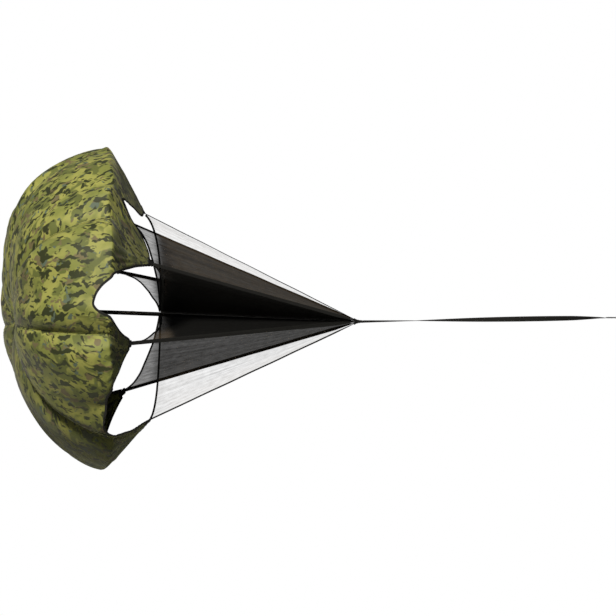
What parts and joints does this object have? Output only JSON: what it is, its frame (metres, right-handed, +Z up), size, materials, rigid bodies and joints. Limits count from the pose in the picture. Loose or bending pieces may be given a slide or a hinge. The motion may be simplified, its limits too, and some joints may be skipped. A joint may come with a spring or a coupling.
{
  "type": "resistance parachute",
  "caption": "Inflated running parachute with a camouflage canopy, tongued rim, sheer mesh between its lines and a twisted tow strap.",
  "frame": {"origin": "inside the bend of the tow strap's end loop, where the ring or hook that tows the parachute bears", "axes": "+X along the tow strap towards the runner, +Z up, -Y towards the near side; the canopy lies at negative X"},
  "size_m": [1.9625, 0.9856, 0.9841],
  "materials": {
    "canopy_cloth": "smooth woven, slightly glossy",
    "sheer_mesh": "fine open knit",
    "black_tape": "woven tape",
    "black_webbing": "flat woven webbing"
  },
  "bodies": {
    "root": {"gore_near_high": "canopy_cloth", "binding_near_high": "black_tape", "tab_top_near": "black_webbing", "line_top_near": "black_webbing", "mesh_top_near": "sheer_mesh", "mesh_edge_top_near": "black_tape", "gore_near_middle": "canopy_cloth", "binding_near_middle": "black_tape", "tab_high_near": "black_webbing", "line_high_near": "black_webbing", "mesh_high_near": "sheer_mesh", "mesh_edge_high_near": "black_tape", "gore_near_low": "canopy_cloth", "binding_near_low": "black_tape", "tab_low_near": "black_webbing", "line_low_near": "black_webbing", "mesh_low_near": "sheer_mesh", "mesh_edge_low_near": "black_tape", "gore_bottom": "canopy_cloth", "binding_bottom": "black_tape", "tab_bottom_near": "black_webbing", "line_bottom_near": "black_webbing", "mesh_bottom_near": "sheer_mesh", "mesh_edge_bottom_near": "black_tape", "gore_far_low": "canopy_cloth", "binding_far_low": "black_tape", "tab_bottom_far": "black_webbing", "line_bottom_far": "black_webbing", "mesh_bottom_far": "sheer_mesh", "mesh_edge_bottom_far": "black_tape", "gore_far_middle": "canopy_cloth", "binding_far_middle": "black_tape", "tab_low_far": "black_webbing", "line_low_far": "black_webbing", "mesh_low_far": "sheer_mesh", "mesh_edge_low_far": "black_tape", "gore_far_high": "canopy_cloth", "binding_far_high": "black_tape", "tab_high_far": "black_webbing", "line_high_far": "black_webbing", "mesh_high_far": "sheer_mesh", "mesh_edge_high_far": "black_tape", "gore_top": "canopy_cloth", "binding_top": "black_tape", "tab_top_far": "black_webbing", "line_top_far": "black_webbing", "mesh_top_far": "sheer_mesh", "mesh_edge_top_far": "black_tape", "line_cuff": "black_webbing", "tow_strap": "black_webbing", "end_loop": "black_webbing"}
  },
  "joints": []
}
